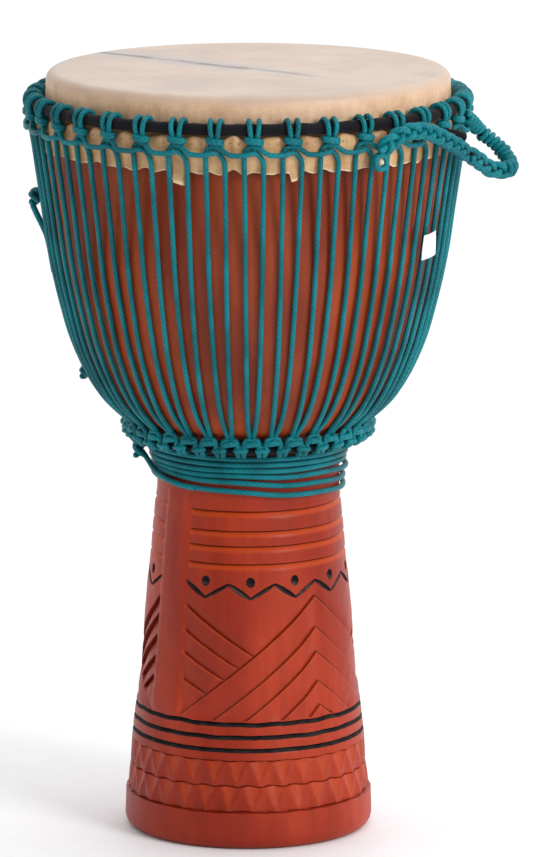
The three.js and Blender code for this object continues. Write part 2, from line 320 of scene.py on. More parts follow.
class Look:
    """A material being made: a Principled shader and the nodes that feed it. Colours are given
    in screen values, 0 to 255."""

    def __init__(self, name, color, roughness, **settings):
        self.material = bpy.data.materials.new(name)
        self.material.use_nodes = True
        self.tree = self.material.node_tree
        self.shader = next(n for n in self.tree.nodes if n.type == "BSDF_PRINCIPLED").inputs
        self.shader["Base Color"].default_value = srgb(*color)
        self.shader["Roughness"].default_value = roughness
        for key, value in settings.items():
            self.shader[key.replace("_", " ")].default_value = value
        self.place = self.new("TexCoord", "Object")

    def new(self, kind, output, inputs=(), **settings):
        return signal(self.tree, kind, output, dict(inputs), **settings)

    def field(self, name):
        return self.new("Attribute", "Fac", attribute_name=name)

    def axis(self, name, vector=None):
        return self.new("SeparateXYZ", name, {"Vector": vector or self.place})

    def stretched(self, x, y, z):
        return self.new("Mapping", "Vector", {"Vector": self.place, "Scale": (x, y, z)})

    def noise(self, scale, detail=3.0, roughness=0.55, vector=None, distortion=0.0):
        inputs = {"Scale": scale, "Detail": detail, "Roughness": roughness, "Distortion": distortion}
        return self.new("TexNoise", "Fac", {"Vector": vector or self.place, **inputs})

    def mix(self, share, low, high):
        low, high = (c if isinstance(c, Signal) else srgb(*c) for c in (low, high))
        return self.new("Mix", 2, {0: share, 6: low, 7: high}, data_type="RGBA")

    def bump(self, height, distance, strength=1.0):
        """Adds relief: height 0 to 1 stands for so many millimetres."""
        inputs = {"Strength": strength, "Distance": distance * MM, "Height": height}
        before = self.shader["Normal"].links
        if before:
            inputs["Normal"] = Signal(self.tree, before[0].from_socket)
        feed(self.tree, self.shader["Normal"], self.new("Bump", "Normal", inputs))

    def color(self, value):
        feed(self.tree, self.shader["Base Color"], value)

    def roughness(self, value):
        feed(self.tree, self.shader["Roughness"], value)


# ---- materials

def stained_wood():
    look = Look("stained_wood", (150, 45, 22), 0.36, Specular_IOR_Level=0.2)
    mix, noise, field, axis = look.mix, look.noise, look.field, look.axis
    height = axis("Z")
    grain = noise(90, 4, 0.6, look.stretched(1, 1, 0.09), distortion=0.4)
    blotch = noise(14, 3, 0.5, look.stretched(1, 1, 0.45))
    fine = noise(700, 2, 0.5, look.stretched(1, 1, 0.2))
    foot = mix(blotch.ramp(0.35, 0.7), (142, 38, 17), (170, 55, 27))
    bowl = mix(blotch.ramp(0.3, 0.7), (122, 45, 20), (166, 72, 34))
    stain_and_stitch_shade = mix(height.ramp(0.285, 0.33), foot, bowl)
    stain_and_stitch_shade = mix(grain.ramp(0.42, 0.62) * 0.2, stain_and_stitch_shade, (104, 26, 12))
    # Painted highlight where the proud edges beside the cuts catch the light, partly wear, and on the
    # point-down facets, which face up.
    rubbed_and_highlit = mix(field("edge").ramp(0.1, 1.0) * 0.6, stain_and_stitch_shade, (204, 88, 42))
    # Painted highlight on the slope under each ridge groove, which faces up.
    lit_ledge = mix(field("lit_ledge").ramp(-2.2, 1.2) * 0.6, rubbed_and_highlit, (200, 74, 20))
    # Painted shade in the cuts, grooves and crevices, together with the stain that gathers in them.
    cut = mix(field("cut").ramp(-0.5, 0.5) * 0.85, lit_ledge, (62, 14, 8))
    ragged = field("burn") + (noise(260, 2) - 0.5) * 0.5
    # Char is painted lighter where it faces up, as a painted highlight; the rings below get the darker pair
    # of colours.
    facing_up = axis("Z", look.new("NewGeometry", "Normal")).ramp(0.1, 0.7)
    lit_char_rings, lit_char_marks = ((19, 15, 14), (48, 42, 41)), ((38, 28, 25), (92, 74, 68))
    flake = noise(130, 3).ramp(0.35, 0.75)
    lit_char = mix(height.ramp(0.15, 0.16), mix(flake, *lit_char_rings), mix(flake, *lit_char_marks))
    char = mix(facing_up, (14, 10, 9), lit_char)
    burnt = mix(ragged.ramp(-0.25, 0.1), cut, char)
    raw = mix(grain.ramp(0.35, 0.7), (74, 48, 34), (120, 84, 60))
    look.color(mix(field("inside").ramp(0.4, 0.6), burnt, raw))
    gloss = blotch * 0.22 + fine * 0.1 + 0.24 + ragged.ramp(-0.2, 0.2) * 0.35
    look.roughness(gloss + field("inside") * 0.4)
    look.bump(grain * 0.7 + fine * 0.3, 0.35, 0.5)
    look.bump(noise(55, 2, 0.5), 1.2, 0.35)
    return look.material


def goat_hide():
    look = Look("goat_hide", (222, 200, 176), 0.5)
    mix, noise, field, axis = look.mix, look.noise, look.field, look.axis
    x, y, z = axis("X"), axis("Y"), axis("Z")
    cloud = noise(11, 4, 0.55)
    speck = noise(900, 3, 0.7)
    mottled = noise(60, 4, 0.65)
    top = mix(cloud.ramp(0.3, 0.7), (200, 179, 161), (183, 164, 151))
    top = mix(mottled.ramp(0.5, 0.8) * 0.3, top, (178, 148, 128))
    # The animal's spine is a grey line straight across the middle.
    across = x * math.sin(math.radians(39)) + y * math.cos(math.radians(39))
    wander = (noise(9, 2) - 0.5) * 0.03
    from_spine = (across + wander).math("ABSOLUTE")
    along = x * math.cos(math.radians(39)) - y * math.sin(math.radians(39))
    fade = along.ramp(0.13, -0.02)
    line = from_spine.ramp(0.0075, 0.001) * fade
    halo = from_spine.ramp(0.03, 0.004) * fade
    top = mix(halo * 0.45, top, (170, 172, 180))
    top = mix(line * noise(35, 3).ramp(0.3, 0.6) * 0.8, top, (112, 96, 92))
    radius = (x * x + y * y).math("SQRT")
    bent = z.ramp(0.6085, 0.6)
    side = mix(mottled.ramp(0.35, 0.7), (224, 187, 152), (205, 164, 128))
    side = mix(speck.ramp(0.5, 0.75) * 0.5, side, (160, 118, 88))
    side = mix(cloud.ramp(0.5, 0.75) * 0.4, side, (222, 190, 164))
    rim = mix(bent, top, side)
    skirt = mix(mottled.ramp(0.3, 0.7), (206, 168, 120), (176, 132, 88))
    hide = mix(z.ramp(0.584, 0.578), rim, skirt)
    # Painted shade in the dimples at the stitches.
    stain_and_stitch_shade = mix(field("stitch").ramp(2.1, 0.6) * 0.85, hide, (88, 50, 30))
    hem = mix(field("hem").ramp(1.6, 0.2) * 0.75, stain_and_stitch_shade, (236, 212, 176))
    look.color(mix(radius.ramp(0.1535, 0.1585) * z.ramp(0.6, 0.6075) * 0.35, hem, (196, 158, 124)))
    look.roughness(mottled * 0.25 + 0.36)
    look.bump(speck, 0.12, 0.5)
    look.bump(mottled, 0.5, 0.35)
    return look.material


def braided_rope():
    """A cord braided of thin strands, from its own mm along and turns round."""
    base, dark, light = (12, 128, 138), (5, 84, 94), (44, 172, 174)
    look = Look("teal_rope", base, 0.4, Specular_IOR_Level=0.15)
    uv = look.new("UVMap", "UV", uv_map="rope")
    along = look.axis("X", uv) / 2.1
    around_it = look.axis("Y", uv) * 6.0
    right, left = around_it + along, around_it - along

    def strand(value, other):
        shape = (value * (2 * math.pi)).math("COSINE") * 0.5 + 0.5
        over = ((other * math.pi).math("SINE") * 0.5 + 0.5).ramp(0.25, 0.75)
        return shape.math("POWER", 0.6) * over

    braid = strand(right, left).math("MAXIMUM", strand(left + 0.5, right + 0.5))
    tone = look.noise(26, 3)
    fuzz = look.noise(1500, 2)
    color = look.mix(tone.ramp(0.3, 0.7), dark, base)
    # Painted shade in the hollows between the braid's strands.
    color = look.mix(braid.ramp(0.1, 0.9), look.mix(0.5, color, dark), color)
    # Painted highlight on the crowns of the strands.
    color = look.mix(braid.ramp(0.6, 1.0) * fuzz.ramp(0.35, 0.7) * 0.5, color, light)
    look.color(color)
    look.roughness(fuzz * 0.2 + 0.28)
    look.bump(braid, 0.28, 0.7)
    return look.material


def black_cloth():
    look = Look("black_cloth", (12, 11, 15), 0.85, Specular_IOR_Level=0.15, Sheen_Weight=0.06)
    weave = look.noise(1300, 2, 0.6)
    tone = look.noise(45, 3)
    color = look.mix(tone.ramp(0.3, 0.7), (9, 8, 11), (20, 18, 24))
    look.color(look.mix(weave.ramp(0.55, 0.8) * 0.4, color, (42, 38, 48)))
    look.roughness(tone * 0.2 + 0.7)
    look.bump(weave, 0.3, 0.6)
    look.bump(look.noise(160, 3), 0.8, 0.5)
    return look.material


def grained(name, color, plain, grain, span, low, high, relief, gloss=None, most=1, **settings):
    """A material that goes from low to high, and from smooth to rough, with a single noise."""
    look = Look(name, color, plain, **settings)
    grain = look.noise(*grain)
    look.color(look.mix(grain.ramp(*span) * most, low, high))
    if gloss:
        look.roughness(grain * gloss[0] + gloss[1])
    look.bump(grain, *relief)
    return look.material


WOOD = stained_wood()
HIDE = goat_hide()
TEAL_ROPE = braided_rope()
BLACK_CLOTH = black_cloth()
STEEL = grained(
    "rod_steel", (120, 122, 124), 0.4, (240, 3), (0.4, 0.7), (130, 132, 135), (70, 62, 56),
    relief=(0.1, 0.4), gloss=(0.4, 0.25), Metallic=1,
)
PAPER = grained(
    "tag_paper", (242, 243, 248), 0.8, (800, 3), (0.3, 0.8), (224, 226, 234), (200, 203, 213),
    relief=(0.05, 0.4), gloss=(0.2, 0.7), most=0.4,
)
CUT_END = grained(
    "cut_rope_end", (228, 214, 186), 0.8, (2200, 2), (0.3, 0.7), (150, 130, 104), (240, 228, 204),
    relief=(0.4, 0.8),
)

for ring in ("flesh_ring", "crown_ring", "bottom_ring"):
    slots = frame["nodes"][ring].data.materials
    slots.clear()
    slots.append(STEEL)

# ---- the carved shell

PANELS = (41, 221)  # bearings of the middles of the two carved panels
BARS = (-49, 131)  # bearings of the two plain bars between them
BAR_HALF = 10.65
PANEL_HALF = 90 - BAR_HALF
PER_DEGREE = math.radians(88)  # mm along the foot in one degree of bearing
PANEL_EDGE = PANEL_HALF * PER_DEGREE
ZIGZAG_STEP = 2 * PANEL_EDGE / 6
CHEVRON_SLOPE = 0.78
CHEVRONS = (198, 173, 153, 130, 111, 90)
SIDE_CUTS = {  # height at the bar and slope of each slanting cut, for each panel
    41: ((192, 0.61), (172, 0.56), (154, 0.51), (133, 0.45), (116, 0.4)),
    221: ((196, 0.86), (181, 0.84), (164, 0.8), (147, 0.76), (132, 0.72), (121, 0.7)),
}
SHINGLE_DEPTH = {1: 2.2, -1: 1.7 * 2.2}
CUT_WALL = 0.5
CUT_LIFTS = (1.5, 0, -0.5, -1.4)  # rows of points along a cut, above and below it
RIDGES = (268.5, 253, 241, 227)
GROOVES = (100, 89.6, 79.4)
GROOVE_LINES = (1.75, 0.75, -1.75)  # top edge, bottom and lower edge, from a groove's middle
FACET_ROWS = ((50.7, 71.0, 0.0), (30.0, 50.7, 0.32))  # bottom, top and shift of each row
FACET_EDGES = (71.0, 50.7, 30.3)
FACETS = 32
BEND_ROWS = (0, 0.5, 1.5, 3.2, 5.6, 9)
FOOT_TOP = 288
SEAM = BARS[1] - 360
SHELL_COLUMNS = 256


def wave(bearing, seed, size, slowest=5, fastest=40):
    """An uneven wobble that closes on itself round the drum."""
    rng = np.random.default_rng(seed)
    total = np.zeros(np.shape(bearing))
    for cycles in np.unique(rng.integers(slowest, fastest, 9)):
        total = total + rng.normal() * np.sin(np.radians(bearing) * cycles + rng.uniform(0, 6.28))
    return total * size / 2.6


def waver(points, size, seed):
    """A smooth wobble, about -1 to 1, whose bumps are about so many mm across."""
    rng = np.random.default_rng(seed)
    total = np.zeros(points.shape[:-1])
    for _ in range(8):
        heading = unit(rng.normal(size=3)) / (size * rng.uniform(0.25, 0.6))
        total += np.sin(points @ heading + rng.uniform(0, 6.28))
    return total / 3


def outside(z):
    """A field's value where no mark is near."""
    return np.full_like(z, -4.0)


def off_centre(bearing, centre):
    return (np.asarray(bearing) - centre + 180) % 360 - 180


def plain_radius(z):
    """The foot's outline with nothing carved."""
    outline_z = (9, 29.6, 30.6, 71, 100, 150, 200, 220, 275, 288)
    outline_r = (98.7, 98.1, 96.6, 93, 89.4, 84.2, 80.4, 78.3, 72.9, 72.6)
    bend = 98.7 - 8.7 * (1 - np.sqrt(np.maximum(1 - (1 - np.minimum(z, 9) / 9) ** 2, 0)))
    return np.where(z < 9, bend, np.interp(z, outline_z, outline_r))


def groove_line(z, bearing, offset):
    """Height of one line of a burnt groove: its top edge, its bottom or its lower edge."""
    ragged = wave(bearing, int(z * 10 + offset * 3), 0.09, 40, 110)
    return z + offset + wave(bearing, int(z), 0.3, 3, 26) + ragged


def facet_edge(z, bearing):
    return z + 0.35 * np.cos(np.radians(bearing) * FACETS + z) + wave(bearing, int(z), 0.25)


def strokes():
    """The zigzag's strokes on one panel: two ends of each, as (mm from the middle, z), and belly."""
    ends = []
    for v in range(6):
        left = -PANEL_EDGE + v * ZIGZAG_STEP + 1
        middle = left + ZIGZAG_STEP / 2 - 1
        ends.append(((left, 210.8), (middle, 199.4), 1.35))
        ends.append(((middle, 199.4), (left + ZIGZAG_STEP, 210.8), 0.75))
    return ends


def dots():
    return [(-PANEL_EDGE + (v + 0.5) * ZIGZAG_STEP, 212.6) for v in range(6)]


def stroke_width(share, belly):
    return 0.8 + belly * np.sin(np.pi * np.clip(share, 0, 1)) ** 0.8


def stack_of_cuts(lines, values, way, crevice):
    """Depth over a stack of cut lines, highest first; distance into the crevice along each, which is
    painted shade; and the proud edge, a painted highlight, partly wear. Where way is 1 the wood
    sinks towards each line and stands proud again under it, and where it is -1 the wood drops at
    each line and rises to the next one below."""
    depth = clamp(1 - (values - lines[0]) / 9) ** 1.6 if way > 0 else np.zeros_like(values)
    mark, edge = outside(values), np.zeros_like(values)
    for high, low in zip(lines, lines[1:]):
        under = high - values
        share = under / (high - low)
        if way > 0:
            sunk = np.maximum(clamp(share) ** 1.6, 1 - under / CUT_WALL)
        else:
            sunk = np.minimum(under / CUT_WALL, clamp(1 - share) ** 1.3)
        depth = np.where((under >= 0) & (values > low), sunk, depth)
        mark = np.maximum(mark, np.minimum(way * (0.1 - under), crevice + way * under))
        edge = np.maximum(edge, clamp(1 - np.abs(under - 0.8 * way) / 0.9))
    return SHINGLE_DEPTH[way] * depth, mark, edge


def shingles(s, z, middle):
    """The overlapping bands of one panel: chevrons, and slanting bands beside them."""
    tilt = z + CHEVRON_SLOPE * np.abs(s)
    # crevice: how far the painted shade reaches from each cut, in mm.
    way, crevice = (1, 1.3) if middle == PANELS[0] else (-1, 1.9)
    chevrons = stack_of_cuts(CHEVRONS, tilt, way, crevice + 0.5 * clamp(s / 8))
    sides = [start - slope * (PANEL_EDGE - np.abs(s)) for start, slope in SIDE_CUTS[middle]]
    beside = stack_of_cuts(sides, z, way, crevice)
    outer = tilt > CHEVRONS[0] + 0.01
    depth = np.where(outer, np.maximum(beside[0], chevrons[0]), chevrons[0])
    depth = depth + 1.1 * clamp(1 - np.abs(s) / 15) * clamp((CHEVRONS[0] - tilt) / 4)
    cut = np.where(outer, np.maximum(beside[1], chevrons[1]), chevrons[1])
    return depth, cut, np.where(outer, beside[2], chevrons[2])


def ridge_cuts(s, z):
    """Grooves under each ridge, ending round before the bars, with painted shade in each groove and a painted
    highlight on the slope below it, which faces up.
    """
    depth, cut, lit_ledge = np.zeros_like(z), outside(z), outside(z)
    ends = np.sqrt(clamp((PANEL_EDGE - np.abs(s) - 1.0) / 5.0))
    for ridge in RIDGES:
        under = ridge - z
        shape = np.where(under < 0.6, under / 0.6, (4.6 - under) / 4.0)
        depth = np.maximum(depth, 2.5 * clamp(shape) * ends)
        cut = np.where(ends > 0.3, np.maximum(cut, np.minimum(under + 0.1, 1.1 - under)), cut)
        lit_ledge = np.where(ends > 0.3, np.maximum(lit_ledge, np.minimum(under - 1.0, 4.4 - under)), lit_ledge)
    barrel = np.zeros_like(z)
    tops = (279, *RIDGES, 216)
    for high, low in zip(tops, tops[1:]):
        share = clamp((z - low) / (high - low - 4.0))
        barrel = np.maximum(barrel, np.where((z > low) & (z < high), np.sin(np.pi * share), 0))
    return depth - 0.7 * barrel * ends, cut, lit_ledge


def burnt_marks(s, z):
    """The zigzag's strokes and the dots over it: depth, and distance inside a mark."""
    depth, burn = np.zeros_like(z), outside(z)
    for (s0, z0), (s1, z1), belly in strokes():
        run = s1 - s0, z1 - z0
        size = np.hypot(*run)
        share = ((s - s0) * run[0] + (z - z0) * run[1]) / size ** 2
        aside = np.abs((s - s0) * run[1] - (z - z0) * run[0]) / size
        beyond = np.maximum(np.maximum(-share, share - 1), 0) * size
        width = stroke_width(share, belly)
        inside = width - np.hypot(aside, beyond)
        burn = np.maximum(burn, inside)
        depth = np.maximum(depth, 1.6 * clamp(inside / width))
    for s0, z0 in dots():
        inside = 3.9 - np.hypot(s - s0, (z - z0) * 0.94)
        burn = np.maximum(burn, inside)
        depth = np.maximum(depth, 2.0 * clamp(inside / 2.6))
    return depth, burn


def burnt_rings(bearing, z):
    depth, burn = np.zeros_like(z), outside(z)
    for groove in GROOVES:
        top, bottom, low = (groove_line(groove, bearing, o) for o in GROOVE_LINES)
        shape = np.minimum((top - z) / (top - bottom), (z - low) / (bottom - low))
        depth = np.maximum(depth, 2.3 * clamp(shape))
        burn = np.maximum(burn, np.minimum(top - z, z - low))
    return depth, burn


def facets(bearing, z):
    """Rows of scooped triangles, point up and point down in turn: depth, and a painted highlight on the
    point-down ones, which face up.
    """
    depth, facet_highlight = np.zeros_like(z), np.zeros_like(z)
    for low, high, shift in FACET_ROWS:
        inside = (z > low) & (z < high)
        up = clamp((z - low) / (high - low))
        aside = np.abs((np.asarray(bearing) * FACETS / 360 + shift) % 1 - 0.5)
        down_pointing = aside < up / 2
        middle = np.where(down_pointing, aside * 2, 1 - aside * 2)
        reach = np.where(down_pointing, up, 1 - up)
        hollow = clamp(1 - middle / np.maximum(reach, 1e-3))
        depth = np.where(inside, 2.5 * reach * (1 - (1 - hollow) ** 1.5), depth)
        facet_highlight = np.where(inside & down_pointing, 0.5 * clamp(hollow * 2.5), facet_highlight)
    return depth, facet_highlight


def incised(bearing, z):
    """The wavy lines cut between the rows of facets."""
    depth, cut = np.zeros_like(z), outside(z)
    for height in FACET_EDGES:
        inside = 0.75 - np.abs(z - facet_edge(height, bearing))
        depth = np.maximum(depth, clamp(inside / 0.75))
        # The cut field paints shade along each line, with the stain that gathers there.
        cut = np.maximum(cut, inside - 0.5)
    return depth, cut


def carving(bearing, z):
    """Depth under the plain outline at points of the foot, and the fields for their colour."""
    depth, edge = facets(bearing, z)
    ring_depth, burn = burnt_rings(bearing, z)
    line_depth, cut = incised(bearing, z)
    depth = np.maximum(depth, ring_depth) + line_depth
    lit_ledge = outside(z)
    for middle in PANELS:
        aside = off_centre(bearing, middle)
        s = aside * PER_DEGREE
        inside = np.abs(aside) <= PANEL_HALF + 1e-6
        low, high = inside & (z < 209) & (z > 102.6), inside & (z > 216) & (z < 279)
        bands, ridges, marks = shingles(s, z, middle), ridge_cuts(s, z), burnt_marks(s, z)
        soft = clamp((PANEL_EDGE - np.abs(s)) / 2)
        depth = np.where(low, bands[0] * soft, np.where(high, ridges[0], depth))
        cut = np.where(low & (soft > 0.2), np.maximum(cut, bands[1]), cut)
        cut = np.where(high, np.maximum(cut, ridges[1]), cut)
        edge, lit_ledge = np.where(low, bands[2], edge), np.where(high, ridges[2], lit_ledge)
        depth = np.where(inside, np.maximum(depth, marks[0]), depth)
        burn = np.where(inside, np.maximum(burn, marks[1]), burn)
    for middle in BARS:
        aside = np.abs(off_centre(bearing, middle))
        crown = 0.9 * clamp((BAR_HALF + 0.3 - aside) / 1.4) + 0.5 * clamp(1 - (aside / BAR_HALF) ** 2)
        depth = depth - crown * (clamp((z - 102.8) / 2.5) * clamp((283 - z) / 8))
    # The cut field carries painted shade, with the stain gathered in the cuts; the edge field and the ridge
    # slopes carry painted highlights; burn marks the charred wood.
    return depth, {"burn": burn, "cut": cut, "edge": edge, "lit_ledge": lit_ledge}


def level(height):
    """A line round the whole foot, at one height or a height for each bearing."""
    bearings = np.linspace(SEAM, SEAM + 360, SHELL_COLUMNS + 1)
    return np.stack([bearings, height(bearings) if callable(height) else 0 * bearings + height], 1)


def segment(start, end, step=3.0):
    """Points along a straight cut on a panel, from (mm, z) to (mm, z)."""
    count = max(1, math.ceil(math.dist(start, end) / step))
    return np.linspace(start, end, count + 1)


def panel_lines(panel):
    """The cuts of one panel, as lines of (mm from its middle, z)."""
    lines = []
    for top in [height + lift for height in CHEVRONS[:-1] for lift in CUT_LIFTS]:
        reach = min(PANEL_EDGE, (top - 103) / CHEVRON_SLOPE)
        lines += [segment((0, top), (hand * reach, top - CHEVRON_SLOPE * reach)) for hand in (-1, 1)]
    for top, slope in [(start + lift, slope) for start, slope in SIDE_CUTS[panel][:-1] for lift in CUT_LIFTS]:
        reach = (top - CHEVRONS[0] + CHEVRON_SLOPE * PANEL_EDGE) / (slope + CHEVRON_SLOPE)
        inner, low = PANEL_EDGE - reach, top - slope * reach
        lines += [segment((hand * PANEL_EDGE, top), (hand * inner, low)) for hand in (-1, 1)]
    for top in [height - drop for height in RIDGES for drop in (0, 0.6, 1.1, 2.6, 4.6)]:
        lines.append(segment((-PANEL_EDGE, top), (PANEL_EDGE, top)))
    shares = np.linspace(0, 1, 9)[:, None]
    for (s0, z0), (s1, z1), belly in strokes():
        run = np.array([s1 - s0, z1 - z0])
        aside = np.array([-run[1], run[0]]) / np.hypot(*run)
        middle = np.array([s0, z0]) + shares * run
        lines += [middle + hand * stroke_width(shares, belly) * aside for hand in (-1, 0, 1)]
    turn = np.linspace(0, 2 * np.pi, 17)
    for s0, z0 in dots():
        for radius in (3.9, 2.7, 1.4):
            lines.append(np.stack([s0 + radius * np.cos(turn), z0 + radius * np.sin(turn) / 0.94], 1))
    for s in (-PANEL_EDGE, PANEL_EDGE, 2.0 - PANEL_EDGE, PANEL_EDGE - 2.0):
        lines.append(segment((s, 103), (s, 286)))
    return lines + [segment((0, 103), (0, 199))]


def foot_lines():
    """Every line of the carving, as (bearing, z) points."""
    lines = [level(z) for z in BEND_ROWS + (19, 29.6, 102.6, 216, 279, FOOT_TOP)]
    for height in GROOVES:
        lines += [level(lambda b, o=o: groove_line(height, b, o)) for o in GROOVE_LINES]
    for height in FACET_EDGES:
        lines += [level(lambda b, o=o: facet_edge(height, b) + o) for o in (-0.75, 0, 0.75)]
    for low, high, shift in FACET_ROWS:
        for k in range(-FACETS, FACETS):
            foot = (k + 0.5 - shift) * 360 / FACETS
            for top in (foot - 180 / FACETS, foot + 180 / FACETS):
                if min(foot, top) > SEAM + 0.5 and max(foot, top) < SEAM + 359.5:
                    lines.append(np.linspace((foot, low + 0.8), (top, high - 0.8), 8))
    for middle in PANELS:
        centre = SEAM + (middle - SEAM) % 360
        lines += [np.stack([centre + line[:, 0] / PER_DEGREE, line[:, 1]], 1) for line in panel_lines(middle)]
    return lines


def fill_points(spacing=3.4):
    """Even points between the cuts, so that the wood can bulge and waver."""
    rows = np.arange(int((FOOT_TOP - 12) / (spacing * 0.866)))[:, None]
    columns = int(360 * PER_DEGREE / spacing)
    bearings = SEAM + 360 * ((np.arange(1, columns) + 0.5 * (rows % 2)) / columns)
    return np.stack(np.broadcast_arrays(bearings, 11 + rows * spacing * 0.866), -1).reshape(-1, 2)


def carved_foot():
    """The foot's outside as points, triangles and colour fields."""
    sides = np.unique(np.concatenate([np.linspace(0, FOOT_TOP, 97), BEND_ROWS]))
    lines = foot_lines() + [np.stack([np.full_like(sides, b), sides], 1) for b in (SEAM, SEAM + 360)]
    edges, count = [], 0
    for line in lines:
        edges += [(count + i, count + i + 1) for i in range(len(line) - 1)]
        count += len(line)
    flat = np.vstack(lines + [fill_points()]) * (PER_DEGREE, 1)
    result = delaunay_2d_cdt([Vector(p) for p in flat], edges, [], 0, 0.02, False)
    bearing, z = np.array([tuple(v) for v in result[0]]).T / [[PER_DEGREE], [1]]
    depth, fields = carving(bearing, z)
    radius = plain_radius(z) - depth
    points = around(bearing, radius, z)
    calm = clamp((z - 2) / 10) * clamp((FOOT_TOP - 1 - z) / 8)
    radius = radius + calm * (0.3 * waver(points, 20, 1) + 0.12 * waver(points, 7, 2))
    return around(bearing, radius, z), result[2], fields


BOWL_OUTSIDE = (  # radius and height, as in the two below
    (73.2, 300), (79.5, 320), (103.5, 341), (119.5, 360), (136, 394), (147, 433), (155, 472), (158.5, 520),
)
BOWL_INSIDE = ((147.5, 604.8), (146.5, 520), (135, 433), (104, 360), (70, 320), (47, 300))
HORN_INSIDE = ((45, 285), (53, 200), (68, 100), (84, 0))


def curve(points, step=6.0):
    """A smooth (radius, z) line through a few points."""
    return smooth([(r, z, 0) for r, z in points], step)[:, :2]


BOWL_LINE = curve(BOWL_OUTSIDE)


def wood_radius(z):
    """The outside of the shell at one height."""
    return np.where(z < 300, plain_radius(z), np.interp(z, BOWL_LINE[:, 1], BOWL_LINE[:, 0]))


def shell_outline():
    """From the top of the foot up the bowl, over the rim, and down the inside to the ground; and
    how many of its points are outside."""
    turn = np.linspace(0, np.pi / 2, 7)
    top = HEIGHT - SKIN - 0.3
    bend = RIM_BEND * np.stack([np.cos(turn), np.sin(turn)], 1)
    outer = np.vstack([
        [(72.6, z) for z in (FOOT_TOP, 292, 296)], BOWL_LINE, [(158.5, z) for z in (540, 560, 580, 595)],
        (BOWL_RADIUS - RIM_BEND, top - RIM_BEND) + bend,
    ])
    lip = [(149.2, top - 0.4), (148, top - 1.8)]
    return np.vstack([outer, lip, curve(BOWL_INSIDE), curve(HORN_INSIDE), [(90, 0)]]), len(outer)


def shell():
    outline, outer = shell_outline()
    bearings = SEAM + 360 * np.arange(SHELL_COLUMNS) / SHELL_COLUMNS
    rows = around(bearings[None], outline[:, :1], outline[:, 1:])
    free = (outline[:, 1:] > 297) & (outline[:, 1:] < 590)
    moved = 0.45 * waver(rows * (1, 1, 0.4), 40, 3) * free
    rows = around(bearings[None], outline[:, :1] + moved, outline[:, 1:])
    foot_points, triangles, fields = carved_foot()
    faces = triangles + (grid_faces(len(rows), SHELL_COLUMNS) + len(foot_points)).tolist()
    count = rows[..., 0].size
    plain = {"burn": -4.0, "cut": -4.0, "edge": 0.0, "lit_ledge": -4.0}
    fields = {k: np.concatenate([v, np.full(count, plain[k])]) for k, v in fields.items()}
    fields["inside"] = np.arange(len(foot_points) + count) >= len(foot_points) + outer * SHELL_COLUMNS
    points = np.vstack([foot_points, rows.reshape(-1, 3)])
    obj = mesh_object("shell_visual", points, faces, fields=fields, sharp=38, weld=0.01)
    return piece(obj, WOOD, "drum", "wood", "shell")


shell()

# ---- the skin

SKIN_COLUMNS = 720
TABS = ((-18.6, 1.9, 9.5), (12.4, 1.1, 6.0))  # bearing, half width and drop of loose bits of hem


def between_loops(bearing):
    """0 at each loop of the crown and 1 half way between two."""
    phase = (np.asarray(bearing) - FIRST_LOOP) / LOOP_STEP
    return 0.5 - 0.5 * np.cos(2 * np.pi * phase)


def skin_line(bearing):
    """The skin's middle surface at one bearing, from the centre of the head out and down: over the
    edge, down the bowl, round the flesh ring, and out into the skirt under the crown ring."""
    half = SKIN / 2
    swell = between_loops(bearing)
    uneven = wave(bearing, 5, 1.0, 3, 90)
    crumple = wave(bearing, 6, 1.0, 40, 160)
    bend = RIM_BEND + 0.3 + half
    centre = BOWL_RADIUS - RIM_BEND, HEIGHT - SKIN - 0.3 - RIM_BEND
    line = [(r, HEIGHT - half) for r in (0, 20, 45, 70, 95, 115, 130, 140, 147)]
    for turn in np.linspace(np.pi / 2, 0, 9):
        line.append((centre[0] + bend * np.cos(turn), centre[1] + bend * np.sin(turn)))
    wall = BOWL_RADIUS + 0.3 + half
    pull = np.clip(wave(bearing, 7, 0.35, 30, 150), -0.2, 0.5)
    line += [(wall + pull * k, z) for z, k in ((598, 0.3), (594, 0.7), (589, 1), (583, 1), (576, 0.5))]
    ring, middle = FLESH_RING["radius"], FLESH_RING["z"]
    pocket = FLESH_RING["rod"] + 0.3 + half
    line += [(wall, middle - 1.6), (wall + 1.6, middle - pocket), (ring + 1.6, middle - pocket)]
    line += [(ring + pocket, middle - 1.6), (ring + pocket, middle + 2.5)]
    top = 575.8 + 4.4 * swell ** 0.6 + 0.7 * uneven * swell
    out = 0.7 + 1.3 * swell + 0.6 * crumple * swell
    base = ring + pocket + 0.2
    skirt = base + 1.35
    line += [
        (base + 0.2 * out, top - 1.6), (base + 0.35 * out + 0.5, top), (skirt + 0.75 * out, top - 0.8),
        (skirt + out, top - 2.6), (skirt + out, top - 5.5), (skirt + 0.75 * out, 568.5),
        (skirt + 0.3 * out, 564.5), (skirt - 0.2 + 0.2 * crumple * swell, 560.5),
        (skirt - 1.0 + 0.5 * crumple * swell, 557),
    ]
    tab = sum(drop * np.clip(half + 0.3 - np.abs(off_centre(bearing, at)), 0, 0.5) for at, half, drop in TABS)
    hem = 552.6 + 0.9 * uneven + 0.25 * crumple - 1.2 * between_loops(bearing * 0.5 + 3) - 2 * tab
    line += [(skirt - 1.9 + 0.5 * crumple + 0.3 * tab, hem)]
    return np.array([np.stack(np.broadcast_arrays(r, z, bearing)[:2], -1) for r, z in line])


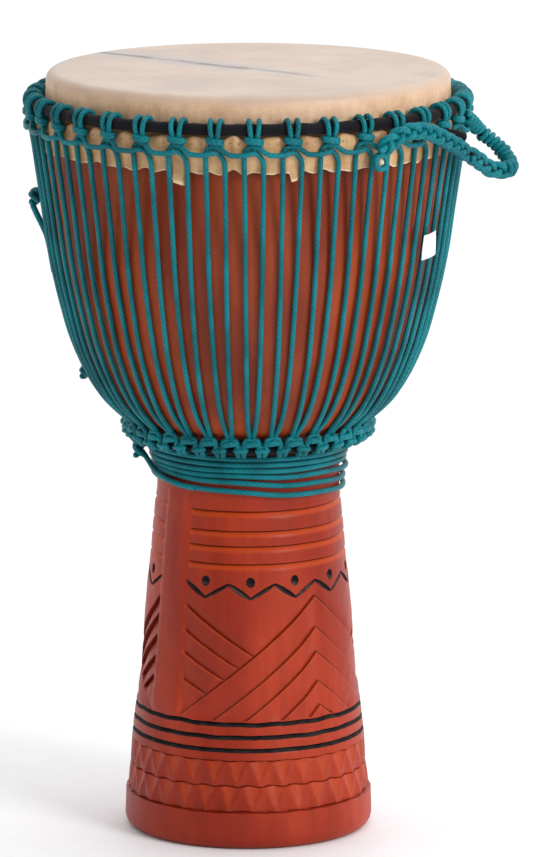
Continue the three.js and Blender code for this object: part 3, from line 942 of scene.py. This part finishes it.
def head():
    bearings = 360 * np.arange(SKIN_COLUMNS) / SKIN_COLUMNS
    line = skin_line(bearings)
    ahead = np.concatenate([line[1:], 2 * line[-1:] - line[-2:-1]])
    behind = np.concatenate([2 * line[:1] - line[1:2], line[:-1]])
    heading = unit(ahead - behind)
    aside = np.stack([-heading[..., 1], heading[..., 0]], -1) * SKIN / 2
    outer, inner = line + aside, line - aside
    loop = np.concatenate([outer[::-1], inner, outer[-1:]])
    rows = around(bearings[None], loop[..., 0], loop[..., 1])
    distance = np.abs((bearings - FIRST_LOOP) % LOOP_STEP - LOOP_STEP / 2) * math.radians(170)
    stitch = np.where(loop[..., 0] > 165, np.hypot(distance[None] - 3.6, loop[..., 1] - 575.4), 9)
    down = lengths(line[:, 0])
    hem = down[-1] - np.concatenate([down[::-1], down, down[-1:]])
    fields = {"stitch": stitch.ravel(), "hem": np.repeat(hem, SKIN_COLUMNS)}
    faces = grid_faces(len(rows), SKIN_COLUMNS).tolist()
    obj = mesh_object("head_visual", rows.reshape(-1, 3), faces, fields=fields, sharp=70, weld=0.02)
    return piece(obj, HIDE, "drum", "hide", "head_skin")


head_visual = head()

# ---- rings wrapped in cloth


def wrapped_ring(name, ring, turns, node):
    """A ring wound with a strip of black cloth, whose turns overlap."""
    columns, sides = 900, 14
    bearing = 360 * np.arange(columns)[:, None] / columns
    angle = 2 * np.pi * np.arange(sides) / sides
    phase = (bearing * turns / 360 + angle / (2 * np.pi)) % 1
    lap = 0.32 * (phase ** 3) + 0.1 * np.sin(2 * np.pi * phase * 3)
    section = ring["sleeve"] - 0.25 + lap + wave(bearing, turns, 0.16, 30, 120)
    rows = around(bearing, ring["radius"] + section * np.cos(angle), ring["z"] + section * np.sin(angle))
    faces = grid_faces(columns, sides, closed=True)[:, (0, 3, 2, 1)]
    piece(mesh_object(name, rows.reshape(-1, 3), faces.tolist()), BLACK_CLOTH, "drum", "black_cloth", node)


wrapped_ring("crown_ring_visual", CROWN_RING, 62, "crown_ring_cloth")
wrapped_ring("bottom_ring_visual", BOTTOM_RING, 44, "bottom_ring_cloth")

# ---- hitches and lacing


def near(bearing, radius, points):
    """Points given as (mm aside, distance from the axis, height) about one bearing."""
    aside, distance, z = np.asarray(points, float).T
    return around(bearing + np.degrees(aside / radius), distance, z)


def route(step, *places):
    """A fine line through points given as (bearing, distance from the axis, height)."""
    return smooth([around(*place) for place in places], step)


def wrap(bearing, radius, centre, half, turns, rise, lean):
    """Turns of rope round the neck of a hitch, lying flat and drifting along its length."""
    angle = np.radians(np.linspace(-190, -190 + 360 * turns, int(26 * turns)))
    share = np.linspace(-0.5, 0.5, len(angle))
    aside, distance = half[0] * np.sin(angle), centre[0] + half[1] * np.cos(angle)
    z = centre[1] + rise * share + lean * np.sin(angle)
    return stations(near(bearing, radius, np.stack([aside, distance, z], 1)), 3.0, 16)


def crown_hitches():
    """For each loop two turns over the crown ring, joined in a bight, and a wrap round their neck."""
    rng = np.random.default_rng(11)
    ring, middle = CROWN_RING["radius"], CROWN_RING["z"]
    over = [  # mm aside, mm from the middle of the ring's section, and degrees round it
        (1.6, 6.7, 172), (0.9, 6.9, 130), (0.5, 7.15, 88), (0.1, 7.15, 45), (-0.3, 6.9, 5), (-0.9, 7, -30),
    ]
    lines = []
    for bearing in LOOP_BEARINGS:
        loose = rng.normal(0, 1, 4)
        leg = []
        for aside, off, degrees in over:
            angle = math.radians(degrees)
            place = ring + off * math.cos(angle), middle + off * math.sin(angle)
            leg.append((3.4 + 0.15 * loose[0] + aside, *place))
        leg += [(1.9, 172.6, 577.6), (1.7, 171.6, 573.6)]
        ears = [(-aside, r, z) for aside, r, z in leg] + [(0, 171.6, 571.4)] + leg[::-1]
        lines.append(stations(smooth(near(bearing, ring, ears), 0.8), 3.0, 14))
        centre, half = (173.1, 577.6 + 0.2 * loose[1]), (5.5 + 0.2 * loose[2], 3.2)
        lines.append(wrap(bearing, 172, centre, half, 2.1, -3.6, -0.5))
    return rope_piece("crown_loops_visual", lines, "drum", "crown_loop_rope", radius=2.0, sides=9)


def bottom_hitches():
    """One rope round the bottom ring: an arch for each loop of the lacing, and between two arches
    a cow hitch on the ring; with a short wrap in each arch and across each hitch."""
    rng = np.random.default_rng(12)
    half = [
        (0, 97.9, 330.4), (2.5, 97.9, 329.9), (3.3, 97.5, 327.0), (3.45, 97.2, 322.2),
        (3.75, 93.0, 316.9), (4.2, 86.8, 319.0), (4.3, 86.6, 323.2), (4.5, 91.2, 326.4),
    ]
    points = []
    for bearing in LOOP_BEARINGS:
        loose = rng.normal(0, 1, 3)
        tilt = [(aside, r, z + 0.5 * loose[0] * (3.6 - aside) * (aside < 3.6)) for aside, r, z in half]
        middle = [(LOOP_STEP / 2, 97.0, 323.6 + 0.4 * loose[2])]
        other = [(LOOP_STEP - aside, r, z + 0.3 * loose[1]) for aside, r, z in half[:0:-1]]
        points += [around(bearing + aside, r, z) for aside, r, z in tilt + middle + other]
    whole = stations(smooth(points, 0.8, closed=True), 2.6, 14)
    parts = [tube(whole[:-1], 2.2, 9, closed=True)]
    for bearing in LOOP_BEARINGS:
        loose = rng.normal(0, 1, 3)
        centre, size = (97.4, 327.2 + 0.3 * loose[0]), (5.3 + 0.3 * loose[1], 2.5)
        parts.append(tube(wrap(bearing, 97, centre, size, 1.6, 1.6, 0.3 + 0.4 * loose[2]), 2.1, 9))
        between, centre = bearing + LOOP_STEP / 2, (97.3, 321.6 + 0.3 * loose[2])
        parts.append(tube(wrap(between, 97, centre, (4.2, 2.0), 1.2, 1.2, 0.4 * loose[0]), 2.0, 9))
    return tube_piece("bottom_loops_visual", parts, "drum", "bottom_loop_rope")


def strand_radius(z):
    """How far from the axis a strand runs: on the bowl, or straight to the ring above and below."""
    on_bowl, top = (wood_radius(height) + ROPE + 0.5 for height in (z, 478.0))
    from_ring = np.maximum(on_bowl, 99.6 + 0.98 * (z - 334))
    return np.where(z < 353, from_ring, np.where(z < 478, on_bowl, np.interp(z, (478, 560), (top, 170.6))))


def strand_aside(z):
    """Degrees from its loop's middle to a strand: the pair closes towards the bottom."""
    return np.interp(z, (338, 352, 372, 460, 560), (1.35, 1.85, 2.15, 2.45, 2.5))


def lacing():
    """One rope without an end: up a strand, over its loop's arch, on to the next, down, and under
    the bottom ring's hitch."""
    rng = np.random.default_rng(13)
    heights = np.array([340, 350, 365, 380, 400, 420, 445, 470, 500, 530, 555.0])
    drift = np.sin((heights - 340) / 215 * np.pi)
    radius, aside = strand_radius(heights), strand_aside(heights)
    over = [
        (-7.5, 171, 565), (-6.9, 171.4, 569.2), (-4.2, 172, 572.6), (0, 172.6, 573.8),
        (4.0, 173.2, 572.7), (7.4, 174.8, 569.6), (11, 175.9, 567.5),
    ]
    under = [
        (-10.5, 176, 567.0), (-6.8, 175.9, 567.2), (-3.2, 175, 568.2), (0, 173, 568.6),
        (3.2, 171.2, 567.0), (6, 170.6, 563.2), (7.3, 170.6, 559),
    ]
    low = [(1.6, 98.8, 334), (1.5, 95.6, 329.8), (0, 93.9, 327.6), (-1.5, 95.6, 329.8), (-1.6, 98.8, 334)]
    lines = []
    for bearing in LOOP_BEARINGS:
        following = bearing + LOOP_STEP
        sway = 0.1 * rng.normal(0, 1, 2)
        up = around(bearing - aside + sway[0] * drift, radius, heights)
        down = around(following + aside + sway[1] * drift, radius, heights)
        bar = around(bearing + LOOP_STEP / 2, 176.0, 567.0)[None]
        lines += [up, near(bearing, 171, over), bar, near(following, 171, under), down[::-1]]
        lines.append(near(following, 99, low))
    whole = stations(smooth(np.vstack(lines), 1.0, closed=True), 4.5, 15)
    return rope_piece("lacing_visual", [whole[:-1]], "drum", "lacing_rope", radius=THIN_ROPE, closed=True)


def waist_wrap():
    """The spare lacing wound round the waist: tight turns above, looser ones below, and its end
    coming down from the knot."""
    levels = (312.4, 307.4, 302.4, 297.4, 292, 283.5, 279.5)
    turn = np.linspace(0, 5.72, 345)
    bearing = -65 + 360 * turn
    droop = np.interp(turn, (2.6, 4, 5.2, 6), (0, 2.4, 4.6, 2))
    level = np.interp(turn, np.arange(7), levels) - droop * np.sin(np.radians(bearing - 10))
    z = level + 0.4 * wave(bearing, 3, 1.0, 2, 9) * clamp(turn - 1.5)
    bulge = 2.4 * np.exp(-((turn - 3.42) / 0.05) ** 2)
    radius = wood_radius(z + 1) + ROPE + 0.35 + 0.25 * wave(bearing, 4, 1.0, 2, 7) ** 2 + bulge
    tail = route(
        1, (-83, 88, 309), (-80, 84, 303.5), (-76, 80.6, 297.5), (-68, 79.6, 292.8),
        (-56, 79.8, 289.8), (-44, 79.4, 287.4), (-34, 77, 285.6),
    )
    both = [stations(line, 3.5, 9) for line in (around(bearing, radius, z), tail)]
    return rope_piece("waist_wrap_visual", both, "drum", "waist_wrap_rope", radius=2.2)


def knot_piece(name, bearing, radius, z, size, node, rope=1.9):
    """A tight overhand knot, about as big as size, facing outward."""
    t = np.linspace(0.35, 2 * np.pi - 0.35, 90)
    shape = np.stack([np.sin(t) + 2 * np.sin(2 * t), np.cos(t) - 2 * np.cos(2 * t), -1.3 * np.sin(3 * t)], 1)
    turn = Vector((0, 0, 1)).rotation_difference(Vector(around(bearing, 1.0, 0.0))).to_matrix()
    line = around(bearing, radius, z) + (size - 1.7) / 3 * shape @ np.array(turn).T
    return rope_piece(name, [stations(line, 2.5, 14)], "drum", node, radius=rope)


crown_hitches()
bottom_hitches()
lacing()
waist_wrap()
knot_piece("side_knot_visual", -93.6, 169.6, 506.2, 7.6, "side_knot", rope=2.2)
knot_piece("lacing_tail_knot_visual", -94.5, 131, 365, 6.2, "lacing_tail_knot")
knot_piece("waist_tie_knot_visual", -78, 88.8, 307.4, 7.4, "waist_tie_knot", rope=2.2)

# ---- the loose strand at the side


def side_strand():
    line = route(
        1, (-94.1, 171.2, 499), (-94.1, 167.6, 491), (-94, 163.6, 483), (-94, 160.2, 475),
        (-94, 158, 466), (-94.1, 156.2, 455.5), (-94.2, 154.6, 446),
    )
    obj = rope_piece("side_strand_visual", [stations(line, 3, 12)], "drum", "side_strand")
    lengths(line)[-1] * MM


side_strand()

# ---- handle and chain

HANDLE_ROUTE = (
    around(84, 183, 563), (193.6, -18, 554), (201.5, -21, 545.7), (206, -30, 537.3),
    (198.5, -43, 535.5), (188.3, -52, 538.7), (179, -62.5, 547), around(67, 187.5, 552.4),
)


def plait(line, half_width=4.5, half_depth=2.5, pitch=36, rope=2.6):
    """Three ropes plaited along a line, flat side out."""
    turn = 2 * np.pi * lengths(line) / pitch
    tangent = unit(np.gradient(line, axis=0))
    side = unit(np.cross(tangent, unit(line * np.array([1, 1, 0]))))
    face = np.cross(side, tangent)
    tubes = []
    for k in range(3):
        phase = (turn + 2 * np.pi * k / 3)[:, None]
        place = line + half_width * np.sin(phase) * side + half_depth * np.sin(2 * phase) * face
        tubes.append(tube(stations(place, 3.0, 13), rope, 9))
    return tubes


def coils(line, radius, pitch, step=2.0, turn=16):
    """A helix round a line, whose radius may change along it."""
    tangent = unit(np.gradient(line, axis=0))
    side = unit(np.cross(tangent, (0.1, 0.2, 1.0)))
    phase = (2 * np.pi * lengths(line) / pitch)[:, None]
    round_it = np.cos(phase) * side + np.sin(phase) * np.cross(side, tangent)
    return stations(line + np.broadcast_to(radius, len(line))[:, None] * round_it, step, turn)


def handle():
    line = smooth(HANDLE_ROUTE, 0.5)
    core_line = stations(line, 3, 8)
    thickness = np.interp(lengths(core_line), (0, 4, 60, 70), (2.9, 2.3, 2.3, 2.9))
    core = mesh_object("handle_core_visual", *tube(core_line, thickness, 12))
    piece(core, BLACK_CLOTH, "handle", "black_cloth", "handle_core")
    back = share_of(line, 0.0, 0.5)
    along = lengths(back)
    swell = 4.2 + 0.9 * (along / along[-1]) ** 2 + 0.3 * np.sin(along / 3.1) + 0.2 * np.sin(along / 1.7)
    winding = [coils(back, swell, 4.7)]
    turns = rope_piece("handle_wrap_visual", winding, "handle", "handle_wrap_rope", radius=2.2, sides=9)
    chain = tube_piece("handle_chain_visual", plait(share_of(line, 0.4, 1.0)), "handle", "handle_chain")
    lengths(line)[-1] * MM


handle()


def ring_chain():
    line = route(
        0.6, (66, 185.4, 553.8), (62.5, 185.2, 559.5), (57.9, 185.2, 565.6), (53.6, 185.2, 571.6),
        (47.6, 185.2, 578.5), (43.1, 185.2, 580), (39, 185.2, 578), (35.8, 184.8, 573.5), (34.2, 183, 566),
    )
    tube_piece("ring_chain_visual", plait(line), "drum", "ring_chain")


def chain_eye():
    """Two turns of rope round a pale cut end."""
    centre, outward, side = around(33.9, 182.2, 558.4), around(33.9, 1, 0), around(33.9 + 90, 1, 0)
    angle, radius, depth = np.linspace((80, 5.6, -1.6), (680, 5.1, 1.8), 70).T[..., None]
    angle = np.radians(angle)
    line = centre + radius * (np.cos(angle) * side + np.sin(angle) * np.array([0, 0, 1])) + depth * outward
    rope_piece("chain_eye_visual", [line], "drum", "chain_eye", radius=2.2)
    stub = centre + np.linspace(-3, 1.4, 6)[:, None] * outward
    piece(mesh_object("chain_eye_core", *tube(stub, 2.4, 12)), CUT_END, "drum", "teal_rope")


def handle_anchors():
    """What holds the handle to the ring: rope wound on from the ring to the back root, a stub of
    the core at the front root, and spare rope wound round the ring behind them."""
    back = route(0.5, (77.5, 173.5, 578), (80.5, 177.5, 572.5), (84, 182.6, 563.8))
    ring = around(np.linspace(86, 128, 400), CROWN_RING["radius"], CROWN_RING["z"])
    lines = [coils(back, 4.3, 4.7), coils(ring, CROWN_RING["sleeve"] + 1.7, 4.5, 2.4, 18)]
    rope_piece("handle_anchor_visual", lines, "drum", radius=2.0, sides=9)
    front = route(1, (61.5, 175, 571), (63.5, 180, 569.8), (65.6, 184.2, 566.8))
    stub = mesh_object("handle_stub_visual", *tube(stations(front, 2, 8), 3.6, 12))
    piece(stub, BLACK_CLOTH, "drum", "black_cloth")


ring_chain()
chain_eye()
handle_anchors()

# ---- paper tag


def paper_tag():
    """A blank slip that is folded round two strands, drawn as one bowed sheet in front of them, a little
    wider below.
    """
    bearing, radius, z = 57.75, 167.8, 484
    across, up = np.meshgrid(np.linspace(-1, 1, 15), np.linspace(-1, 1, 11))
    aside = across * (9.8 + 0.9 * -up) + 0.7 * up
    height = z + up * 9.6 + across * 1.2
    bulge = radius + 0.9 * (1 - across ** 2) - 0.8 * across ** 4 + 0.25 * np.sin(2.2 * up + across)
    sheets = [np.stack([aside, r, height], -1).reshape(-1, 3) for r in (bulge, bulge - 0.25)]
    index = np.arange(across.size).reshape(across.shape)
    quads = np.stack([index[:-1, :-1], index[:-1, 1:], index[1:, 1:], index[1:, :-1]], -1).reshape(-1, 4)
    rim = np.concatenate([index[0], index[1:, -1], index[-1, -2::-1], index[-2:0:-1, 0]])
    edge = np.stack([np.roll(rim, -1), rim, rim + index.size, np.roll(rim, -1) + index.size], -1)
    faces = np.vstack([quads, quads[:, ::-1] + index.size, edge]).tolist()
    obj = mesh_object("paper_tag_visual", near(bearing, radius, np.vstack(sheets)), faces, sharp=40)
    piece(obj, PAPER, "drum", "paper", "paper_tag")


paper_tag()

# ---- floor and light


def floor():
    look = Look("pale_floor", (246, 246, 248), 0.6)
    grit = look.noise(30, 3)
    look.color(look.mix(grit, (244, 244, 246), (250, 250, 252)))
    bpy.ops.mesh.primitive_plane_add(size=30, location=(0, 0, 0))
    obj = bpy.context.object
    obj.name = "floor"
    obj.data.materials.append(look.material)


def soft_light(name, place, aim, width, height, watts):
    data = bpy.data.lights.new(name, "AREA")
    data.shape = "RECTANGLE"
    data.size, data.size_y, data.energy = width, height, watts
    placed(name, data, place, aim)


def world():
    sky = bpy.data.worlds.new("studio")
    sky.use_nodes = True
    heading = signal(sky.node_tree, "TexCoord", "Generated", {})
    right, behind = (signal(sky.node_tree, "SeparateXYZ", name, {"Vector": heading}) for name in "XY")
    background = sky.node_tree.nodes["Background"].inputs
    background["Color"].default_value = (1, 1, 1, 1)
    strength = behind.ramp(-0.6, 0.3) * 0.5 + right.ramp(-0.7, 0.8) * 0.3 + 0.35
    feed(sky.node_tree, background["Strength"], strength)
    bpy.context.scene.world = sky


floor()
world()
soft_light("key", (1.9, -2.0, 1.7), (0, 0, 0.35), 1.0, 1.4, 52)
soft_light("left", (-2.4, -0.6, 1.0), (0, 0, 0.3), 0.6, 1.6, 5)
soft_light("top", (0.3, 0.2, 2.4), (0, 0, 0.5), 1.4, 1.4, 7)
soft_light("backdrop", (0, 5.5, 4), (0, 5.5, 0), 9, 7, 110)
